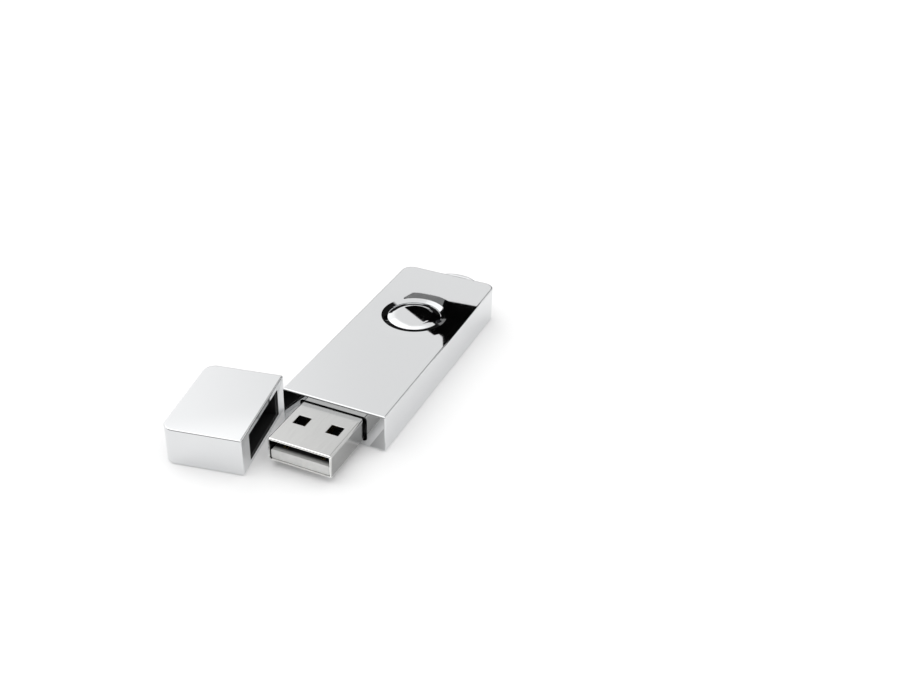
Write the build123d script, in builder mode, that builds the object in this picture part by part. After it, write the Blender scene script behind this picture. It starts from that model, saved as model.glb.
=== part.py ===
"""USB flash drive: a polished die-cast casing with a key-ring loop, and its cap lying beside the open plug.

Frame: millimetres, origin at the centre of the casing's underside, +X towards the key-ring loop,
+Z up. The plug points along -X.
"""

import os
from math import cos, radians, sin

from build123d import *

# --- Driving dimensions -------------------------------------------------------------------------

# Casing: one die-cast shell, open underneath, sized round the plug and the board in it
side_wall = 1.0
end_wall = 1.2
top_wall = 1.1
rear_bay = 5.95  # between the board's carrier and the end wall
corner_radius = 2.2  # the rounded far corners of casing and cap, seen from above
edge_radius = 0.3  # polished edges

# Bottom cover, let into a rebate and held by four studs
cover_thickness = 0.8
rebate_ledge = 0.4
stud_radius = 0.6
stud_height = 2.4
stud_post_radius = 1.15
stud_inset = 4.25  # from the casing's ends
stud_post_bite = 0.1  # how far a post runs into the side wall

# Ring ornament on the top face: a faint slope, a falling cone, and a let-in disc whose edge rolls off
ring_from_front = 32.8
medallion_radius = 5.2
medallion_flat_radius = 3.3
medallion_roll_width = 1.0
medallion_roll_drop = 0.14
pocket_depth = 0.8
dish_radius = 8.5
dish_depth = 0.26  # at the medallion
cone_radius = 6.35
cone_rim_depth = 0.05

# Light pipe of the activity lamp, in a hole on the rim of the disc
light_hole_radius = 0.58
light_pipe_flange_radius = 1.0
light_pipe_flange = 0.5
light_pipe_proud = 0.1  # above the dish's lowest place

# Key-ring loop: a half-round plate with an oval eye, and a tang with a T head inside the casing
loop_radius = 6.0
loop_thickness = 1.3
eye_length = 7.0
eye_width = 4.3
eye_rim = 1.05
tang_width = 8.0
tang_head_width = 11.0
tang_head_length = 1.6
loop_edge = 0.22

# USB type A plug
plug_width = 12.0
plug_height = 4.5
plug_wall = 0.3
plug_corner = 0.45
plug_lip = 0.26  # rounding of the outer edge round the mouth
window_lip = 0.1
plug_reach = 11.8  # from the casing's front face to the tip
plug_shell_length = 18.75
plug_bed = 0.55  # plastic under the plug, inside the casing
plug_roof = 0.25  # and over it
plug_gap_side = 0.5
plug_gap_top = 0.25
window_size = 2.4
window_pitch = 6.3
window_from_tip = 6.7
tongue_thickness = 1.84
tongue_recess = 0.3
tongue_side_gap = 0.15
tongue_corner = 0.3
plug_cavity_depth = 9.2
contact_width = 1.0
contact_thickness = 0.2
contact_proud = 0.05
contact_tail = 2.0
power_contact_start = 1.6  # behind the plug's tip
data_contact_start = 2.6
contact_places = {
    "usb_contact_power": (power_contact_start, 3.5),
    "usb_contact_data_minus": (data_contact_start, 1.0),
    "usb_contact_data_plus": (data_contact_start, -1.0),
    "usb_contact_ground": (power_contact_start, -3.5),
}
ear_length = 2.2
ear_height = 1.9

# Circuit board and the parts on it
board_thickness = 1.0
flash_length = 18.4
flash_width = 12.0
flash_height = 1.0
flash_standoff = 0.1
flash_edge_margin = 0.3
flash_lamp_gap = 0.7
lead_pitch = 0.5
lead_side_margin = 0.1
lead_width = 0.22
lead_thickness = 0.13
lead_reach = 0.8
controller_size = 6.0
controller_height = 0.9
controller_from_front = 6.3
chip_gap = 0.7  # between controller, memory chip and crystal
crystal_length = 3.2
crystal_width = 2.5
crystal_height = 0.9
crystal_side = 4.0
board_rear_margin = 1.8
lamp_length = 1.6
lamp_width = 0.8
lamp_height = 0.6
chip_length = 1.6
chip_width = 0.8
capacitor_height = 0.8
resistor_height = 0.45
chip_pitch = 2.2
chip_row_length = 3
front_row_start = 4.2
front_row_side = 5.2
rear_row_side = -1.6
strip_row_start = 14.8

# Plastic carrier that holds board and plug
carrier_wall = 0.65
carrier_end_wall = 1.3
board_end_ledge = 3.0
board_side_ledge = 1.7
cradle_width = 11.0
cradle_length = 5.4
retainer_lip = 0.2
foam_length = 14.0
foam_width = 9.0
foam_shift = 0.4

# Cap
cap_length = 14.5
cap_end_wall = 1.2
liner_recess = 0.3
liner_slot_width = 12.3
liner_slot_height = 4.66
liner_wall = 0.25
liner_side_wall = 0.6
liner_end_wall = 0.5
grip_rib = 0.12
grip_rib_width = 0.9
grip_rib_setback = 1.2

# Where the cap lies: the centre of its mouth, and the way the mouth faces
cap_mouth_from_front = -6.2
cap_mouth_side = 10.1
cap_turn = -79.15

# Clearances
fit = 0.05
running = 0.1

# --- Places worked out from the dimensions ------------------------------------------------------

flash_from_front = controller_from_front + controller_size / 2 + chip_gap + lead_reach + flash_length / 2
crystal_from_front = flash_from_front + flash_length / 2 + lead_reach + chip_gap + crystal_width / 2
board_length = crystal_from_front + crystal_width / 2 + board_rear_margin
lamp_side = -medallion_radius
flash_side = lamp_side + lamp_width / 2 + flash_lamp_gap + flash_width / 2
board_width = 2 * (flash_side + flash_width / 2 + flash_edge_margin)
carrier_length = board_length + running + carrier_end_wall
carrier_width = board_width + 2 * (fit + carrier_wall)

casing_length = plug_shell_length - plug_reach + carrier_length + rear_bay + end_wall
casing_width = carrier_width + 2 * (running + side_wall)
casing_height = cover_thickness + plug_bed + plug_height + plug_roof + top_wall

front_x = -casing_length / 2
rear_x = casing_length / 2
ceiling = casing_height - top_wall
ring_x = front_x + ring_from_front
pocket_floor = casing_height - pocket_depth

plug_bottom = cover_thickness + plug_bed
plug_z = plug_bottom + plug_height / 2
plug_top = plug_bottom + plug_height
plug_tip_x = front_x - plug_reach
plug_back_x = plug_tip_x + plug_shell_length
tongue_bottom = plug_bottom + plug_wall
tongue_top = tongue_bottom + tongue_thickness
contact_bottom = tongue_top + contact_proud - contact_thickness

board_top = contact_bottom
board_bottom = board_top - board_thickness
board_front_x = plug_back_x
board_middle_x = board_front_x + board_length / 2

loop_bottom = casing_height / 2 - loop_thickness / 2
stud_side = casing_width / 2 - side_wall + stud_post_bite - stud_post_radius
stud_places = [
    (end * (casing_length / 2 - stud_inset), side * stud_side)
    for end in (-1, 1)
    for side in (-1, 1)
]
cap_pocket_width = liner_slot_width + 2 * (liner_side_wall + fit)
cap_pocket_height = liner_slot_height + 2 * (liner_wall + fit)

# The YZ planes look along +X, so a sketch on one takes (y, z).
plug_tip_plane = Plane.YZ.offset(plug_tip_x)
front_plane = Plane.YZ.offset(front_x)
rear_plane = Plane.YZ.offset(rear_x)

# The ornament's profiles are drawn on a plane through its axis: x outwards, y up from the top face
ornament_plane = Plane(origin=(ring_x, 0, casing_height), x_dir=(1, 0, 0), z_dir=(0, -1, 0))
ornament_axis = Axis((ring_x, 0, 0), (0, 0, 1))

# The cap's own frame: x out of its mouth, z up, on the surface that the drive lies on
cap_frame = Plane(
    origin=(front_x + cap_mouth_from_front, cap_mouth_side, 0),
    x_dir=(cos(radians(cap_turn)), sin(radians(cap_turn)), 0),
    z_dir=(0, 0, 1),
)
cap_mouth_plane = Plane(origin=cap_frame.origin, x_dir=cap_frame.y_dir, z_dir=cap_frame.x_dir)

from_low_corner = (Align.MIN, Align.CENTER)
from_high_corner = (Align.MAX, Align.CENTER)


def board_place(from_front, side):
    """A place on the board, given from its front edge and from its centre line."""
    return (board_front_x + from_front, side)


# --- Casing -------------------------------------------------------------------------------------

with BuildPart() as casing:
    with BuildSketch() as casing_outline:
        Rectangle(casing_length, casing_width)
        fillet(casing_outline.vertices().group_by(Axis.X)[-1], corner_radius)
    extrude(amount=casing_height)
    top_and_bottom = casing.faces().filter_by(Axis.Z)
    front_face = casing.faces().sort_by(Axis.X)[0]
    fillet(top_and_bottom.edges() + front_face.edges().filter_by(Axis.Z), edge_radius)
    # Cavity, and the rebate that takes the bottom cover
    with BuildSketch() as cavity_outline:
        Rectangle(casing_length - 2 * end_wall, casing_width - 2 * side_wall)
        fillet(cavity_outline.vertices().group_by(Axis.X)[-1], corner_radius - side_wall)
    extrude(amount=ceiling, mode=Mode.SUBTRACT)
    with BuildSketch() as rebate_outline:
        Rectangle(
            casing_length - 2 * (end_wall - rebate_ledge), casing_width - 2 * (side_wall - rebate_ledge)
        )
        fillet(
            rebate_outline.vertices().group_by(Axis.X)[-1], corner_radius - side_wall + rebate_ledge
        )
    extrude(amount=cover_thickness, mode=Mode.SUBTRACT)
    # Posts that take the cover's studs
    with BuildSketch(Plane.XY.offset(cover_thickness)):
        with Locations(*stud_places):
            Circle(stud_post_radius)
    extrude(amount=ceiling - cover_thickness)
    with BuildSketch(Plane.XY.offset(cover_thickness)):
        with Locations(*stud_places):
            Circle(stud_radius)
    extrude(amount=stud_height + running, mode=Mode.SUBTRACT)
    # Opening for the plug, and the slot for the loop's tang
    with BuildSketch(front_plane):
        with Locations((0, plug_z)):
            RectangleRounded(
                plug_width + 2 * plug_gap_side, plug_height + 2 * plug_gap_top, plug_corner + plug_gap_top
            )
    extrude(amount=end_wall, mode=Mode.SUBTRACT)
    with BuildSketch(rear_plane):
        with Locations((0, casing_height / 2)):
            Rectangle(tang_width + 2 * fit, loop_thickness + 2 * fit)
    extrude(amount=-end_wall, mode=Mode.SUBTRACT)
    # Ring ornament: the turned slope and cone, the pocket for the disc, and the hole for the lamp
    with BuildSketch(ornament_plane):
        with BuildLine():
            slope = Line((dish_radius, 0), (cone_radius, -cone_rim_depth))
            cone = Line(slope @ 1, (medallion_radius, -dish_depth))
            Polyline(cone @ 1, (0, -dish_depth), (0, edge_radius), (dish_radius, edge_radius), slope @ 0)
        make_face()
    revolve(axis=ornament_axis, mode=Mode.SUBTRACT)
    with BuildSketch(Plane.XY.offset(casing_height)):
        with Locations((ring_x, 0)):
            Circle(medallion_radius)
    extrude(amount=-pocket_depth, mode=Mode.SUBTRACT)
    with BuildSketch(Plane.XY.offset(casing_height)):
        with Locations((ring_x, lamp_side)):
            Circle(light_hole_radius)
    extrude(amount=-top_wall, mode=Mode.SUBTRACT)

with BuildPart() as bottom_cover:
    with BuildSketch() as cover_outline:
        Rectangle(
            casing_length - 2 * (end_wall - rebate_ledge + fit),
            casing_width - 2 * (side_wall - rebate_ledge + fit),
        )
        fillet(
            cover_outline.vertices().group_by(Axis.X)[-1], corner_radius - side_wall + rebate_ledge - fit
        )
    extrude(amount=cover_thickness)
    with BuildSketch(Plane.XY.offset(cover_thickness)):
        with Locations(*stud_places):
            Circle(stud_radius - fit)
    extrude(amount=stud_height)

with BuildPart() as medallion:
    wall_radius = medallion_radius - fit
    roll_end = (medallion_flat_radius + medallion_roll_width, -medallion_roll_drop)
    with BuildSketch(ornament_plane):
        with BuildLine():
            flat = Line((0, 0), (medallion_flat_radius, 0))
            roll = TangentArc(flat @ 1, roll_end, tangent=flat % 1)
            slope_length = (wall_radius - roll_end[0]) / (roll % 1).X
            slope = Line(roll @ 1, roll @ 1 + (roll % 1) * slope_length)
            Polyline(slope @ 1, (wall_radius, -pocket_depth), (0, -pocket_depth), flat @ 0)
        make_face()
    revolve(axis=ornament_axis)
    with BuildSketch(Plane.XY.offset(pocket_floor)):
        with Locations((ring_x, lamp_side)):
            Circle(light_hole_radius)
    extrude(amount=pocket_depth, mode=Mode.SUBTRACT)

# --- Key-ring loop ------------------------------------------------------------------------------

with BuildPart() as keyring_loop:
    with BuildSketch(Plane.XY.offset(loop_bottom)):
        with Locations((rear_x, 0)):
            Circle(loop_radius)
            Rectangle(2 * loop_radius, 2 * loop_radius, align=from_high_corner, mode=Mode.SUBTRACT)
            Rectangle(end_wall, tang_width, align=from_high_corner)
        with Locations((rear_x - end_wall, 0)):
            Rectangle(tang_head_length, tang_head_width, align=from_high_corner)
        with Locations((rear_x + loop_radius - eye_rim - eye_width / 2, 0)):
            SlotOverall(eye_length, eye_width, rotation=90, mode=Mode.SUBTRACT)
    extrude(amount=loop_thickness)
    flat_edges = keyring_loop.faces().filter_by(Axis.Z).edges()
    outside = flat_edges.filter_by_position(Axis.X, rear_x, rear_x + loop_radius, inclusive=(False, True))
    fillet(outside, loop_edge)

# --- USB plug -----------------------------------------------------------------------------------

with BuildPart() as usb_plug_shell:
    with BuildSketch(plug_tip_plane):
        with Locations((0, plug_z)):
            RectangleRounded(plug_width, plug_height, plug_corner)
            RectangleRounded(
                plug_width - 2 * plug_wall,
                plug_height - 2 * plug_wall,
                plug_corner - plug_wall,
                mode=Mode.SUBTRACT,
            )
    extrude(amount=plug_shell_length)
    with BuildSketch(Plane.XY.offset(plug_bottom)):
        with Locations((plug_tip_x + window_from_tip, 0)):
            with GridLocations(0, window_pitch, 1, 2):
                Rectangle(window_size, window_size)
    extrude(amount=plug_height, mode=Mode.SUBTRACT)
    outer_faces = usb_plug_shell.faces().filter_by(Axis.Z).sort_by(Axis.Z)
    window_rims = outer_faces[0].inner_wires() + outer_faces[-1].inner_wires()
    fillet(window_rims.edges(), window_lip)
    mouth_rim = usb_plug_shell.faces().sort_by(Axis.X)[0].outer_wire()
    fillet(mouth_rim.edges(), plug_lip)
    # Ears that pass down through the board
    with BuildSketch(Plane.XY.offset(plug_z - ear_height)):
        with Locations((plug_back_x, 0)):
            with GridLocations(0, plug_width - plug_wall, 1, 2):
                Rectangle(ear_length, plug_wall, align=from_low_corner)
    extrude(amount=ear_height)

with BuildPart() as usb_plug_tongue:
    tongue_width = plug_width - 2 * (plug_wall + tongue_side_gap)
    with BuildSketch(Plane.YZ.offset(plug_tip_x + tongue_recess)):
        with Locations((0, (tongue_bottom + tongue_top) / 2)):
            RectangleRounded(tongue_width, tongue_thickness, tongue_corner)
    extrude(amount=plug_shell_length - tongue_recess)
    with BuildSketch(Plane.YZ.offset(plug_tip_x + tongue_recess + plug_cavity_depth)):
        with Locations((0, (tongue_bottom + plug_top - plug_wall) / 2)):
            RectangleRounded(tongue_width, plug_height - 2 * plug_wall, tongue_corner)
    extrude(amount=plug_shell_length - tongue_recess - plug_cavity_depth)
    with BuildSketch(Plane.XY.offset(contact_bottom)):
        for contact_start, contact_side in contact_places.values():
            with Locations((plug_tip_x + contact_start, contact_side)):
                Rectangle(plug_shell_length, contact_width, align=from_low_corner)
    extrude(amount=contact_thickness, mode=Mode.SUBTRACT)

usb_contacts = {}
for contact_name, (contact_start, contact_side) in contact_places.items():
    with BuildPart() as usb_contact:
        with BuildSketch(Plane.XY.offset(contact_bottom)):
            with Locations((plug_tip_x + contact_start, contact_side)):
                contact_length = plug_shell_length - contact_start + contact_tail
                Rectangle(contact_length, contact_width, align=from_low_corner)
        extrude(amount=contact_thickness)
    usb_contacts[contact_name] = usb_contact

# --- Circuit board ------------------------------------------------------------------------------

with BuildPart() as circuit_board:
    with BuildSketch(Plane.XY.offset(board_bottom)):
        with Locations((board_front_x, 0)):
            Rectangle(board_length, board_width, align=from_low_corner)
        with Locations((board_front_x, 0)):
            with GridLocations(0, plug_width - plug_wall, 1, 2):
                Rectangle(
                    ear_length + running, plug_wall + 2 * running, align=from_low_corner, mode=Mode.SUBTRACT
                )
    extrude(amount=board_thickness)

flash_place = board_place(flash_from_front, flash_side)
with BuildPart() as flash_memory_chip:
    with BuildSketch(Plane.XY.offset(board_top + flash_standoff)):
        with Locations(flash_place):
            Rectangle(flash_length, flash_width)
    extrude(amount=flash_height)
    chamfer(flash_memory_chip.faces().sort_by(Axis.Z)[-1].edges(), flash_standoff)

with BuildPart() as flash_memory_leads:
    lead_count = int((flash_width - 2 * lead_side_margin - lead_width) / lead_pitch) + 1
    first_lead_side = flash_side - (lead_count - 1) * lead_pitch / 2 - lead_width / 2
    lead_side_plane = Plane(
        origin=(flash_place[0], first_lead_side, board_top),
        x_dir=(1, 0, 0),
        z_dir=(0, -1, 0),
    )
    lead_exit = flash_standoff + flash_height / 2
    half_flash = flash_length / 2
    foot_start = half_flash + lead_reach / 2
    with BuildSketch(lead_side_plane) as lead_profile:
        with BuildLine():
            Polyline(
                (half_flash, lead_exit),
                (foot_start, lead_exit),
                (foot_start, lead_thickness),
                (half_flash + lead_reach, lead_thickness),
                (half_flash + lead_reach, 0),
                (foot_start - lead_thickness, 0),
                (foot_start - lead_thickness, lead_exit - lead_thickness),
                (half_flash, lead_exit - lead_thickness),
                close=True,
            )
        make_face()
        mirror(about=Plane.YZ)
    for lead_number in range(lead_count):
        extrude(
            lead_profile.sketch.moved(Location((0, lead_number * lead_pitch, 0))),
            amount=-lead_width,
        )

with BuildPart() as controller_chip:
    with BuildSketch(Plane.XY.offset(board_top)):
        with Locations(board_place(controller_from_front, 0)):
            Rectangle(controller_size, controller_size)
    extrude(amount=controller_height)

with BuildPart() as crystal_oscillator:
    with BuildSketch(Plane.XY.offset(board_top)):
        with Locations(board_place(crystal_from_front, crystal_side)):
            RectangleRounded(crystal_width, crystal_length, edge_radius)
    extrude(amount=crystal_height)

with BuildPart() as activity_lamp:
    with BuildSketch(Plane.XY.offset(board_top)):
        with Locations((ring_x, lamp_side)):
            Rectangle(lamp_length, lamp_width)
    extrude(amount=lamp_height)

front_row_middle = front_row_start + chip_pitch * (chip_row_length - 1) / 2
with BuildPart() as chip_capacitors:
    with BuildSketch(Plane.XY.offset(board_top)):
        with Locations(board_place(front_row_middle, front_row_side)):
            with GridLocations(chip_pitch, 0, chip_row_length, 1):
                Rectangle(chip_width, chip_length)
        with Locations(board_place(crystal_from_front, rear_row_side)):
            with GridLocations(0, chip_pitch, 1, chip_row_length):
                Rectangle(chip_length, chip_width)
    extrude(amount=capacitor_height)

with BuildPart() as chip_resistors:
    with BuildSketch(Plane.XY.offset(board_top)):
        with Locations(board_place(front_row_middle, -front_row_side)):
            with GridLocations(chip_pitch, 0, chip_row_length, 1):
                Rectangle(chip_width, chip_length)
        strip_middle = (flash_side - flash_width / 2 - board_width / 2) / 2
        with Locations(board_place(strip_row_start, strip_middle)):
            with GridLocations(chip_pitch, 0, chip_row_length, 1):
                Rectangle(chip_width, chip_length)
    extrude(amount=resistor_height)

with BuildPart() as light_pipe:
    stem_bottom = board_top + lamp_height + running
    flange_bottom = ceiling - light_pipe_flange
    pipe_radius = light_hole_radius - fit
    with BuildSketch(Plane.XY.offset(stem_bottom)):
        with Locations((ring_x, lamp_side)):
            Circle(pipe_radius)
    extrude(amount=casing_height - dish_depth + light_pipe_proud - stem_bottom)
    with BuildSketch(Plane.XY.offset(flange_bottom)):
        with Locations((ring_x, lamp_side)):
            Circle(light_pipe_flange_radius)
    extrude(amount=light_pipe_flange)

# --- Plastic carrier, retainer and foam pad -----------------------------------------------------

with BuildPart() as board_carrier:
    with BuildSketch(Plane.XY.offset(cover_thickness)):
        with Locations((board_front_x, 0)):
            Rectangle(carrier_length, carrier_width, align=from_low_corner)
    extrude(amount=board_top - cover_thickness)
    with BuildSketch(Plane.XY.offset(board_bottom)):
        with Locations((board_front_x, 0)):
            Rectangle(board_length + running, board_width + 2 * fit, align=from_low_corner)
    extrude(amount=board_thickness, mode=Mode.SUBTRACT)
    with BuildSketch(Plane.XY.offset(cover_thickness)):
        with Locations((board_middle_x, 0)):
            Rectangle(board_length - 2 * board_end_ledge, board_width - 2 * board_side_ledge)
    extrude(amount=board_bottom - cover_thickness, mode=Mode.SUBTRACT)
    # Relief for the plug's ears, and the tongue that cradles the plug
    with BuildSketch(Plane.XY.offset(cover_thickness)):
        with Locations((board_front_x, 0)):
            with GridLocations(0, plug_width - plug_wall, 1, 2):
                Rectangle(ear_length + running, plug_wall + 4 * running, align=from_low_corner)
    extrude(amount=board_bottom - cover_thickness, mode=Mode.SUBTRACT)
    with BuildSketch(Plane.XY.offset(cover_thickness)):
        with Locations((board_front_x, 0)):
            Rectangle(cradle_length, cradle_width, align=from_high_corner)
    extrude(amount=plug_bottom - cover_thickness)

with BuildPart() as board_retainer:
    with BuildSketch(Plane.XY.offset(board_top)):
        with Locations((board_front_x, 0)):
            Rectangle(carrier_length, carrier_width, align=from_low_corner)
        with Locations((board_front_x + carrier_wall, 0)):
            Rectangle(
                carrier_length - 2 * carrier_wall,
                board_width - 2 * retainer_lip,
                align=from_low_corner,
                mode=Mode.SUBTRACT,
            )
    extrude(amount=ceiling - fit - board_top)
    # The front bar bridges the contacts' tails and reaches forward over the plug
    with BuildSketch(Plane.XY.offset(board_top)):
        with Locations((board_front_x, 0)):
            Rectangle(carrier_wall, plug_width + 2 * plug_gap_side, align=from_low_corner)
    extrude(amount=plug_top - board_top, mode=Mode.SUBTRACT)
    with BuildSketch(Plane.XY.offset(plug_top)):
        with Locations((board_front_x + carrier_wall, 0)):
            Rectangle(cradle_length + carrier_wall, cradle_width, align=from_high_corner)
    extrude(amount=ceiling - fit - plug_top)

with BuildPart() as foam_pad:
    foam_bottom = board_top + flash_standoff + flash_height
    with BuildSketch(Plane.XY.offset(foam_bottom)):
        with Locations((flash_place[0], flash_place[1] + foam_shift)):
            Rectangle(foam_length, foam_width)
    extrude(amount=ceiling - foam_bottom)

# --- Cap ----------------------------------------------------------------------------------------

with BuildPart(cap_frame) as cap_shell:
    with BuildSketch(cap_frame) as cap_outline:
        Rectangle(cap_length, casing_width, align=from_high_corner)
        fillet(cap_outline.vertices().group_by(Axis.X)[0], corner_radius)
    extrude(amount=casing_height)
    mouth_axis = Axis(cap_frame.origin, cap_frame.x_dir)
    top_and_bottom = cap_shell.faces().filter_by(Axis.Z)
    mouth_face = cap_shell.faces().sort_by(mouth_axis)[-1]
    fillet(top_and_bottom.edges() + mouth_face.edges().filter_by(Axis.Z), edge_radius)
    with BuildSketch(cap_mouth_plane):
        with Locations((0, plug_z)):
            Rectangle(cap_pocket_width, cap_pocket_height)
    extrude(amount=-(cap_length - cap_end_wall), mode=Mode.SUBTRACT)

with BuildPart() as cap_liner:
    with BuildSketch(cap_mouth_plane.offset(-liner_recess)):
        with Locations((0, plug_z)):
            Rectangle(cap_pocket_width - 2 * fit, cap_pocket_height - 2 * fit)
    extrude(amount=-(cap_length - cap_end_wall - liner_recess))
    with BuildSketch(cap_mouth_plane.offset(-liner_recess)):
        with Locations((0, plug_z)):
            Rectangle(liner_slot_width, liner_slot_height)
    slot_depth = cap_length - cap_end_wall - liner_recess - liner_end_wall
    extrude(amount=-slot_depth, mode=Mode.SUBTRACT)
    # Ribs that grip the plug's sides
    with BuildSketch(cap_mouth_plane.offset(-liner_recess - grip_rib_setback)):
        for side in (-1, 1):
            with Locations((side * liner_slot_width / 2, plug_z)):
                with Locations((-side * grip_rib / 2, 0)):
                    Rectangle(grip_rib, grip_rib_width)
    extrude(amount=-(slot_depth - grip_rib_setback))

# --- Write one file for each piece --------------------------------------------------------------

pieces = {
    "casing": casing,
    "bottom_cover": bottom_cover,
    "medallion": medallion,
    "keyring_loop": keyring_loop,
    "usb_plug_shell": usb_plug_shell,
    "usb_plug_tongue": usb_plug_tongue,
    **usb_contacts,
    "circuit_board": circuit_board,
    "flash_memory_chip": flash_memory_chip,
    "flash_memory_leads": flash_memory_leads,
    "controller_chip": controller_chip,
    "crystal_oscillator": crystal_oscillator,
    "activity_lamp": activity_lamp,
    "chip_capacitors": chip_capacitors,
    "chip_resistors": chip_resistors,
    "light_pipe": light_pipe,
    "board_carrier": board_carrier,
    "board_retainer": board_retainer,
    "foam_pad": foam_pad,
    "cap_shell": cap_shell,
    "cap_liner": cap_liner,
}

os.makedirs("parts", exist_ok=True)
for name, piece in pieces.items():
    piece.part.label = name
    export_step(piece.part, f"parts/{name}.step")
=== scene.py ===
"""USB flash drive with its cap off: camera and light, then each piece in order of assembly."""

import math

import bpy
from mathutils import Matrix, Vector

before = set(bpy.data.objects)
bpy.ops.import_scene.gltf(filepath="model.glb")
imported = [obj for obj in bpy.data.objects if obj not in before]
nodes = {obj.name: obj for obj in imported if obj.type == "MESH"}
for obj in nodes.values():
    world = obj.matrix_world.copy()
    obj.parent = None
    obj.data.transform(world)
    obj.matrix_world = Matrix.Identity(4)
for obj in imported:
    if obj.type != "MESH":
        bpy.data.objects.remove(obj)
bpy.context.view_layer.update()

# --- Camera ---------------------------------------------------------------------------------------
# A hand-held view from in front of the plug and a little to its right, 31 degrees above the table.

camera_data = bpy.data.cameras.new("camera")
camera = bpy.data.objects.new("camera", camera_data)
bpy.context.scene.collection.objects.link(camera)
bpy.context.scene.camera = camera
camera_place = Vector((-0.16189, -0.07815, 0.11857))
camera_target = Vector((0.01475, 0.0059, 0.0))
forward = (camera_target - camera_place).normalized()
level_right = forward.cross(Vector((0, 0, 1))).normalized()
level_up = level_right.cross(forward)
roll = math.radians(0.23)
right = level_right * math.cos(roll) + level_up * math.sin(roll)
up = level_up * math.cos(roll) - level_right * math.sin(roll)
turn = Matrix((right, up, -forward)).transposed().to_4x4()
camera.matrix_world = Matrix.Translation(camera_place) @ turn
camera_data.sensor_width = 36
camera_data.lens = 44.95
camera_data.shift_x = 0.0527
camera_data.shift_y = -0.0173
camera_data.clip_start = 0.001
camera_data.clip_end = 10
bpy.context.scene.view_settings.view_transform = "Standard"


def linear(hex_colour):
    """An sRGB hex colour as linear RGBA."""
    parts = [int(hex_colour[i : i + 2], 16) / 255 for i in (1, 3, 5)]
    return (*[c / 12.92 if c <= 0.04045 else ((c + 0.055) / 1.055) ** 2.4 for c in parts], 1)


def add_node(tree, kind, settings={}):
    """Adds a node. Each setting is a property, an input's value, or the node or socket that feeds it."""
    made = tree.nodes.new(kind)
    for name, value in settings.items():
        if isinstance(value, bpy.types.Node):
            value = value.outputs[0]
        if isinstance(value, bpy.types.NodeSocket):
            tree.links.new(value, made.inputs[name])
        elif isinstance(name, int) or name in made.inputs:
            made.inputs[name].default_value = value
        else:
            setattr(made, name, value)
    return made


def new_material(name):
    """A new material, its node tree and its Principled shader."""
    material = bpy.data.materials.new(name)
    material.use_nodes = True
    return material, material.node_tree, material.node_tree.nodes["Principled BSDF"]


# --- Table and light ------------------------------------------------------------------------------
# A white laminate table in a white light tent, brightest overhead and on the left. The tent stands on
# a low dark skirt, which rises on the camera's side, at the far end and on the far right. Polished
# metal mirrors the tent as white, and the skirt and a black flag above the drive's far end as black.

world = bpy.data.worlds.new("light_tent")
bpy.context.scene.world = world
world.use_nodes = True
tree = world.node_tree
tree.nodes.clear()
direction = add_node(tree, "ShaderNodeTexCoord").outputs["Generated"]
along = add_node(tree, "ShaderNodeSeparateXYZ", {"Vector": direction}).outputs
# heading is the angle from the drive's far end towards its left, and elevation the angle above the table
heading = add_node(tree, "ShaderNodeMath", {"operation": "ARCTAN2", 0: along["Y"], 1: along["X"]})
heading = add_node(tree, "ShaderNodeMath", {"operation": "DEGREES", 0: heading})
elevation = add_node(tree, "ShaderNodeMath", {"operation": "ARCSINE", 0: along["Z"]})
elevation = add_node(tree, "ShaderNodeMath", {"operation": "DEGREES", 0: elevation})
# the heading to either side
turned = add_node(tree, "ShaderNodeMath", {"operation": "ABSOLUTE", 0: heading})
# brightness and darkness step smoothly from one value to another, between two angles in degrees
steps = {}
for name, along_what, start, end, low, high in (
    ("wall", elevation, 4, 34, 1.12, 0.95),
    ("roof", elevation, 50, 66, 0, 0.5),
    ("left wall from", heading, 26, 46, 0, 1),
    ("left wall to", heading, 150, 130, 0, 1),
    ("left wall below", elevation, 62, 50, 0, 0.35),
    ("left glow from", heading, 31, 35, 0, 1),
    ("left glow above", elevation, 35.2, 36.8, 0, 0.22),
    ("skirt", elevation, 6, 4, 0, 1),
    ("far skirt", elevation, 21, 19, 0, 1),
    ("far skirt to", heading, 46, 40, 0, 1),
    ("far skirt from", heading, -10, 0, 0, 1),
    ("near skirt", elevation, 32, 24, 0, 1),
    ("near skirt from", turned, 125, 140, 0, 1),
    ("right skirt", elevation, 46, 44, 0, 1),
    ("right skirt to", heading, 19.5, 18, 0, 1),
):
    steps[name] = add_node(
        tree, "ShaderNodeMapRange",
        {"interpolation_type": "SMOOTHSTEP", "Value": along_what, "From Min": start, "From Max": end,
         "To Min": low, "To Max": high},
    )
# the steps that hold together are multiplied, the tent's are added up, and the darkest dark counts
joined = dict(steps)
for name, operation, first, second in (
    ("left wall", "MULTIPLY", "left wall from", "left wall to"),
    ("left wall", "MULTIPLY", "left wall", "left wall below"),
    ("tent", "ADD", "wall", "roof"),
    ("tent", "ADD", "tent", "left wall"),
    ("left glow", "MULTIPLY", "left glow from", "left glow above"),
    ("tent", "ADD", "tent", "left glow"),
    ("far skirt", "MULTIPLY", "far skirt", "far skirt to"),
    ("right skirt", "MULTIPLY", "right skirt", "right skirt to"),
    ("dark", "MAXIMUM", "far skirt", "right skirt"),
    ("dark", "MULTIPLY", "dark", "far skirt from"),
    ("dark", "MAXIMUM", "dark", "skirt"),
    ("near skirt", "MULTIPLY", "near skirt", "near skirt from"),
    ("dark", "MAXIMUM", "dark", "near skirt"),
):
    joined[name] = add_node(
        tree, "ShaderNodeMath", {"operation": operation, 0: joined[first], 1: joined[second]}
    )
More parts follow.
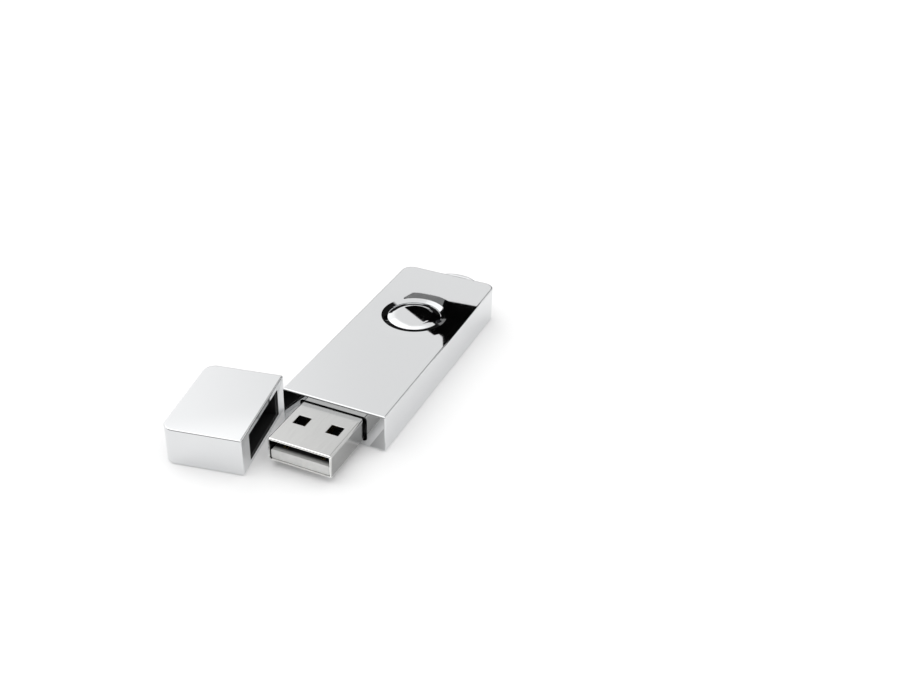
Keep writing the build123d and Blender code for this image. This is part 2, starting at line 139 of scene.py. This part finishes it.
# the skirt takes all but a hundredth of the light
skirt_loss = 0.99
lit = add_node(
    tree, "ShaderNodeMath",
    {"operation": "MULTIPLY_ADD", 0: joined["dark"], 1: -skirt_loss, 2: 1.0},
)
strength = add_node(tree, "ShaderNodeMath", {"operation": "MULTIPLY", 0: joined["tent"], 1: lit})
# straight to the camera and through the light pipe it is plain white
ray = add_node(tree, "ShaderNodeLightPath").outputs
seen = add_node(
    tree, "ShaderNodeMath",
    {"operation": "MAXIMUM", 0: ray["Is Camera Ray"], 1: ray["Is Transmission Ray"]},
)
strength = add_node(tree, "ShaderNodeMath", {"operation": "MAXIMUM", 0: strength, 1: seen})
background = add_node(
    tree, "ShaderNodeBackground", {"Color": linear("#FFFFFF"), "Strength": strength}
)
add_node(tree, "ShaderNodeOutputWorld", {"Surface": background})

table_white, tree, shader = new_material("white_laminate")
shader.inputs["Base Color"].default_value = linear("#F2F2F2")
shader.inputs["Roughness"].default_value = 0.6
shader.inputs["Specular IOR Level"].default_value = 0.1
shader.inputs["Emission Color"].default_value = linear("#FFFFFF")
# the camera, mirrors and the light pipe see the table glow a little, and the glow lights nothing
table_glow = 0.09
ray = add_node(tree, "ShaderNodeLightPath").outputs
seen = add_node(
    tree, "ShaderNodeMath",
    {"operation": "MAXIMUM", 0: ray["Is Camera Ray"], 1: ray["Is Glossy Ray"]},
)
seen = add_node(
    tree, "ShaderNodeMath", {"operation": "MAXIMUM", 0: seen, 1: ray["Is Transmission Ray"]}
)
glow = add_node(tree, "ShaderNodeMath", {"operation": "MULTIPLY", 0: seen, 1: table_glow})
tree.links.new(glow.outputs[0], shader.inputs["Emission Strength"])
reach = 2
floor_mesh = bpy.data.meshes.new("table_top")
floor_corners = [(-reach, -reach, 0), (reach, -reach, 0), (reach, reach, 0), (-reach, reach, 0)]
floor_mesh.from_pydata(floor_corners, [], [(0, 1, 2, 3)])
floor_mesh.materials.append(table_white)
table_top = bpy.data.objects.new("table_top", floor_mesh)
bpy.context.scene.collection.objects.link(table_top)

# The flag and a grey card hang across the drive's length, above its far end, and a paler card lies
# beside the plug. Only mirrors see them. Their corners are in mm.
card_distance = 27
paper_height = 0.05
flag_outline = [
    (11.3, 17.3), (11.2, 18.9), (2.2, 23.9), (2, 27), (-30, 27), (-30, 12.5), (-5.2, 14.3),
    (2, 14.7), (3, 17.2),
]
grey_outline = [(2, 14.7), (9, 15.2), (11.3, 17.3), (3, 17.2)]
pale_outline = [(-47, -6.8), (-25.6, -6.8), (-25.6, -12), (-47, -12)]
flag_corners = [(card_distance, breadth, height) for breadth, height in flag_outline]
grey_corners = [(card_distance, breadth, height) for breadth, height in grey_outline]
pale_corners = [(length, breadth, paper_height) for length, breadth in pale_outline]
for name, finish, colour, corners in (
    ("black_flag", "black_velvet", "#050505", flag_corners),
    ("grey_card", "grey_card", "#9A9A9A", grey_corners),
    ("pale_card", "pale_grey_card", "#CDCDCD", pale_corners),
):
    matt, tree, shader = new_material(finish)
    shader.inputs["Base Color"].default_value = linear(colour)
    shader.inputs["Roughness"].default_value = 1.0
    shader.inputs["Specular IOR Level"].default_value = 0.0
    card_mesh = bpy.data.meshes.new(name)
    in_metres = [Vector(corner) / 1000 for corner in corners]
    card_mesh.from_pydata(in_metres, [], [tuple(range(len(corners)))])
    card_mesh.materials.append(matt)
    card = bpy.data.objects.new(name, card_mesh)
    bpy.context.scene.collection.objects.link(card)
    card.visible_camera = card.visible_diffuse = False
    card.visible_transmission = card.visible_shadow = False

# --- Casing ---------------------------------------------------------------------------------------
# A zinc die-casting, ground, buffed to a mirror and chrome plated: a cool, bright metal that looks
# black and white. The buffing leaves a faint wave in it, and handling leaves faint smears.

chrome, tree, shader = new_material("buffed_chrome_plate")
shader.inputs["Base Color"].default_value = linear("#DDDEDF")
shader.inputs["Metallic"].default_value = 1.0
place = add_node(tree, "ShaderNodeTexCoord").outputs["Object"]
# smears about 9 mm across leave the mirror a little less sharp
smears = add_node(tree, "ShaderNodeTexNoise", {"Vector": place, "Scale": 110, "Detail": 3})
smear_roughness = add_node(
    tree, "ShaderNodeMapRange",
    {"Value": smears, "From Min": 0.3, "From Max": 0.75, "To Min": 0.02, "To Max": 0.06},
)
tree.links.new(smear_roughness.outputs[0], shader.inputs["Roughness"])
# a buffing wave 12 mm long and well under a micron high
wave = add_node(tree, "ShaderNodeTexNoise", {"Vector": place, "Scale": 80, "Detail": 1})
wave_bump = add_node(tree, "ShaderNodeBump", {"Height": wave, "Strength": 0.2, "Distance": 0.00002})
tree.links.new(wave_bump.outputs[0], shader.inputs["Normal"])


def dress(material, *names):
    """Gives CAD nodes one material in every slot."""
    for name in names:
        node_materials = nodes[name].data.materials
        for i in range(len(node_materials)):
            node_materials[i] = material


dress(chrome, "casing")

# --- Medallion ------------------------------------------------------------------------------------
# The disc in the middle of the ring ornament, turned, let into the casing and bonded. It is buffed and
# plated like the casing.

dress(chrome, "medallion")

# --- Key-ring loop --------------------------------------------------------------------------------
# A flat plated bow whose tang is riveted into the casing's rear wall.

dress(chrome, "keyring_loop")

# --- Light pipe -----------------------------------------------------------------------------------
# Smoked polycarbonate, moulded, pressed into the casing's roof from below. It carries the activity
# lamp's light to the edge of the medallion, and looks black while the lamp is off.

smoked_plastic, tree, shader = new_material("smoked_polycarbonate")
shader.inputs["Base Color"].default_value = linear("#26262A")
shader.inputs["Roughness"].default_value = 0.12
shader.inputs["IOR"].default_value = 1.58
shader.inputs["Transmission Weight"].default_value = 0.4
dress(smoked_plastic, "light_pipe")

# --- Circuit board --------------------------------------------------------------------------------
# Glass-epoxy laminate under a green solder mask. The woven glass shows through the mask as a fine,
# slightly uneven tone.

solder_mask, tree, shader = new_material("green_solder_mask")
shader.inputs["Roughness"].default_value = 0.32
place = add_node(tree, "ShaderNodeTexCoord").outputs["Object"]
# warp and weft threads, 0.45 mm apart
weave = add_node(tree, "ShaderNodeTexNoise", {"Vector": place, "Scale": 2200, "Detail": 1})
tone = add_node(
    tree, "ShaderNodeMix",
    {"data_type": "RGBA", "Factor": weave, 6: linear("#0B4A2A"), 7: linear("#14653B")},
)
tree.links.new(tone.outputs[2], shader.inputs["Base Color"])
dress(solder_mask, "circuit_board")

# --- Controller and flash memory chips ------------------------------------------------------------
# Transfer-moulded black epoxy, filled with silica, soldered to the board. The filler gives it a fine
# matt grain.

chip_epoxy, tree, shader = new_material("moulded_black_epoxy")
shader.inputs["Base Color"].default_value = linear("#1C1C1E")
shader.inputs["Roughness"].default_value = 0.6
place = add_node(tree, "ShaderNodeTexCoord").outputs["Object"]
filler = add_node(tree, "ShaderNodeTexNoise", {"Vector": place, "Scale": 9000, "Detail": 2})
filler_bump = add_node(
    tree, "ShaderNodeBump", {"Height": filler, "Strength": 0.4, "Distance": 0.00001}
)
tree.links.new(filler_bump.outputs[0], shader.inputs["Normal"])
dress(chip_epoxy, "controller_chip", "flash_memory_chip")

# --- Flash memory leads ---------------------------------------------------------------------------
# Copper alloy strip, stamped and bent, with dull tin plating that takes the solder.

dull_tin, tree, shader = new_material("dull_tin_plate")
shader.inputs["Base Color"].default_value = linear("#C9C9C6")
shader.inputs["Metallic"].default_value = 1.0
place = add_node(tree, "ShaderNodeTexCoord").outputs["Object"]
crystals = add_node(tree, "ShaderNodeTexNoise", {"Vector": place, "Scale": 12000, "Detail": 2})
tin_roughness = add_node(
    tree, "ShaderNodeMapRange",
    {"Value": crystals, "From Min": 0.3, "From Max": 0.7, "To Min": 0.35, "To Max": 0.5},
)
tree.links.new(tin_roughness.outputs[0], shader.inputs["Roughness"])
dress(dull_tin, "flash_memory_leads")

# --- Crystal oscillator ---------------------------------------------------------------------------
# A drawn nickel-silver can, slightly warm in colour, soldered flat on the board.

nickel_silver, tree, shader = new_material("drawn_nickel_silver")
shader.inputs["Base Color"].default_value = linear("#D3CFC4")
shader.inputs["Metallic"].default_value = 1.0
shader.inputs["Roughness"].default_value = 0.28
dress(nickel_silver, "crystal_oscillator")

# --- Activity lamp --------------------------------------------------------------------------------
# A light-emitting diode in a small block of milky epoxy, under the light pipe's foot.

lamp_epoxy, tree, shader = new_material("milky_lamp_epoxy")
shader.inputs["Base Color"].default_value = linear("#EDE9D2")
shader.inputs["Roughness"].default_value = 0.3
shader.inputs["Subsurface Weight"].default_value = 0.3
shader.inputs["Subsurface Scale"].default_value = 0.0005
dress(lamp_epoxy, "activity_lamp")

# --- Chip capacitors ------------------------------------------------------------------------------
# Fired brown ceramic blocks, soldered beside the chips that they serve.

fired_ceramic, tree, shader = new_material("fired_brown_ceramic")
shader.inputs["Base Color"].default_value = linear("#8E6B4A")
shader.inputs["Roughness"].default_value = 0.5
dress(fired_ceramic, "chip_capacitors")

# --- Chip resistors -------------------------------------------------------------------------------
# Alumina blocks under a black glass glaze, soldered in the data lines.

black_glaze, tree, shader = new_material("black_glass_glaze")
shader.inputs["Base Color"].default_value = linear("#101012")
shader.inputs["Roughness"].default_value = 0.22
dress(black_glaze, "chip_resistors")

# --- USB contacts ---------------------------------------------------------------------------------
# Phosphor bronze strip under a flash of gold, pressed into the tongue and soldered to the board.
# Plugging in has burnished them lengthwise.

contact_gold, tree, shader = new_material("gold_flash")
shader.inputs["Base Color"].default_value = linear("#E6C27A")
shader.inputs["Metallic"].default_value = 1.0
place = add_node(tree, "ShaderNodeTexCoord").outputs["Object"]
wipe_place = add_node(tree, "ShaderNodeMapping", {"Vector": place, "Scale": (200, 9000, 200)})
wipes = add_node(tree, "ShaderNodeTexNoise", {"Vector": wipe_place, "Scale": 1, "Detail": 2})
wipe_roughness = add_node(
    tree, "ShaderNodeMapRange",
    {"Value": wipes, "From Min": 0.3, "From Max": 0.7, "To Min": 0.15, "To Max": 0.35},
)
tree.links.new(wipe_roughness.outputs[0], shader.inputs["Roughness"])
dress(contact_gold, *[name for name in nodes if name.startswith("usb_contact_")])

# --- USB plug tongue ------------------------------------------------------------------------------
# Glass-filled plastic, moulded in pale grey, with a slightly mottled satin skin. The side that carries
# the contacts is darkened with painted shade behind the nose, for the unlit cavity under the shell.

tongue_plastic, tree, shader = new_material("moulded_grey_plastic")
shader.inputs["Roughness"].default_value = 0.45
place = add_node(tree, "ShaderNodeTexCoord").outputs["Object"]
mottle = add_node(tree, "ShaderNodeTexNoise", {"Vector": place, "Scale": 1400, "Detail": 4})
tone = add_node(
    tree, "ShaderNodeMix",
    {"data_type": "RGBA", "Factor": mottle, 6: linear("#D9D9D7"), 7: linear("#EDEDEB")},
)
# painted shade: the contact side, 3.49 mm up, is painted near black; the painted shade fades out just
# behind the nose
shade_ends, shade_full, shade_above = -0.0365, -0.0355, 0.00346
along = add_node(tree, "ShaderNodeSeparateXYZ", {"Vector": place}).outputs
behind = add_node(
    tree, "ShaderNodeMapRange",
    {"interpolation_type": "SMOOTHSTEP", "Value": along["X"], "From Min": shade_ends,
     "From Max": shade_full},
)
above = add_node(
    tree, "ShaderNodeMath", {"operation": "GREATER_THAN", 0: along["Z"], 1: shade_above}
)
painted_shade = add_node(tree, "ShaderNodeMath", {"operation": "MULTIPLY", 0: behind, 1: above})
# painted shade: the contact side deep in the shell is mixed towards near black
tone = add_node(
    tree, "ShaderNodeMix",
    {"data_type": "RGBA", "Factor": painted_shade, 6: tone.outputs[2], 7: linear("#1A1A1A")},
)
tree.links.new(tone.outputs[2], shader.inputs["Base Color"])
skin_bump = add_node(tree, "ShaderNodeBump", {"Height": mottle, "Strength": 0.3, "Distance": 0.00002})
tree.links.new(skin_bump.outputs[0], shader.inputs["Normal"])
dress(tongue_plastic, "usb_plug_tongue")

# --- USB plug shell -------------------------------------------------------------------------------
# Tin-plated steel strip, 0.3 mm thick, folded round the tongue, with two latch windows above and two
# below. The fine grain of the rolled strip runs along the plug.

plug_steel, tree, shader = new_material("rolled_tinned_steel")
shader.inputs["Metallic"].default_value = 1.0
place = add_node(tree, "ShaderNodeTexCoord").outputs["Object"]
# the rolling grain: streaks about 4 mm long and 0.1 mm wide
grain_place = add_node(tree, "ShaderNodeMapping", {"Vector": place, "Scale": (250, 9000, 9000)})
grain = add_node(tree, "ShaderNodeTexNoise", {"Vector": grain_place, "Scale": 1, "Detail": 2})
tone = add_node(
    tree, "ShaderNodeMix",
    {"data_type": "RGBA", "Factor": grain, 6: linear("#BEBEBD"), 7: linear("#D0D0CF")},
)
# painted shade: the steel is painted dark inside, within 5.72 mm of the plug's middle across and 1.97 mm
# up or down, for the unlit cavity
plug_height, shade_across, shade_up = 0.0036, 0.00572, 0.00197
across = add_node(tree, "ShaderNodeSeparateXYZ", {"Vector": place}).outputs
sideways = add_node(
    tree, "ShaderNodeMath", {"operation": "COMPARE", 0: across["Y"], 1: 0.0, 2: shade_across}
)
upward = add_node(
    tree, "ShaderNodeMath", {"operation": "COMPARE", 0: across["Z"], 1: plug_height, 2: shade_up}
)
inside_shade = add_node(tree, "ShaderNodeMath", {"operation": "MULTIPLY", 0: sideways, 1: upward})
# painted shade: the inside of the shell is mixed towards dark grey
tone = add_node(
    tree, "ShaderNodeMix",
    {"data_type": "RGBA", "Factor": inside_shade, 6: tone.outputs[2], 7: linear("#2E2E2F")},
)
# painted highlight: the lip round the mouth, the first quarter of a millimetre, is painted a paler tone,
# for the bright rim that its rounded edge catches
highlight_back = -0.0368
lip_highlight = add_node(tree, "ShaderNodeMath", {"operation": "LESS_THAN", 0: across["X"], 1: highlight_back})
tone = add_node(
    tree, "ShaderNodeMix",
    {"data_type": "RGBA", "Factor": lip_highlight, 6: tone.outputs[2], 7: linear("#F4F4F2")},
)
tree.links.new(tone.outputs[2], shader.inputs["Base Color"])
grain_roughness = add_node(
    tree, "ShaderNodeMapRange",
    {"Value": grain, "From Min": 0.3, "From Max": 0.7, "To Min": 0.15, "To Max": 0.23},
)
tree.links.new(grain_roughness.outputs[0], shader.inputs["Roughness"])
grain_bump = add_node(tree, "ShaderNodeBump", {"Height": grain, "Strength": 0.12, "Distance": 0.00001})
tree.links.new(grain_bump.outputs[0], shader.inputs["Normal"])
dress(plug_steel, "usb_plug_shell")

# --- Board carrier and retainer -------------------------------------------------------------------
# Two black ABS mouldings that hold the board and the plug in the casing. A lightly sparked tool has
# left them matt, with a fine grain.

black_abs, tree, shader = new_material("moulded_black_abs")
shader.inputs["Base Color"].default_value = linear("#141415")
place = add_node(tree, "ShaderNodeTexCoord").outputs["Object"]
spark_grain = add_node(tree, "ShaderNodeTexNoise", {"Vector": place, "Scale": 5000, "Detail": 2})
spark_roughness = add_node(
    tree, "ShaderNodeMapRange",
    {"Value": spark_grain, "From Min": 0.3, "From Max": 0.7, "To Min": 0.45, "To Max": 0.65},
)
tree.links.new(spark_roughness.outputs[0], shader.inputs["Roughness"])
spark_bump = add_node(
    tree, "ShaderNodeBump", {"Height": spark_grain, "Strength": 0.3, "Distance": 0.00002}
)
tree.links.new(spark_bump.outputs[0], shader.inputs["Normal"])
dress(black_abs, "board_carrier", "board_retainer")

# --- Foam pad -------------------------------------------------------------------------------------
# Charcoal polyurethane foam, cut from sheet, that presses the flash memory chip down. Its cells are
# about 0.3 mm across.

foam, tree, shader = new_material("charcoal_foam")
shader.inputs["Base Color"].default_value = linear("#2A2A2C")
shader.inputs["Roughness"].default_value = 0.95
place = add_node(tree, "ShaderNodeTexCoord").outputs["Object"]
cells = add_node(tree, "ShaderNodeTexVoronoi", {"Vector": place, "Scale": 3300})
cell_bump = add_node(tree, "ShaderNodeBump", {"Height": cells, "Strength": 0.8, "Distance": 0.0001})
tree.links.new(cell_bump.outputs[0], shader.inputs["Normal"])
dress(foam, "foam_pad")

# --- Bottom cover ---------------------------------------------------------------------------------
# A zinc plate with four studs, pressed up into the casing from below and plated to match it.

dress(chrome, "bottom_cover")

# --- Cap shell ------------------------------------------------------------------------------------
# The pull-off cap's outside, cast, buffed and plated like the casing.

dress(chrome, "cap_shell")

# --- Cap liner ------------------------------------------------------------------------------------
# The black ABS sleeve glued into the cap, whose inside grips the plug.

dress(black_abs, "cap_liner")
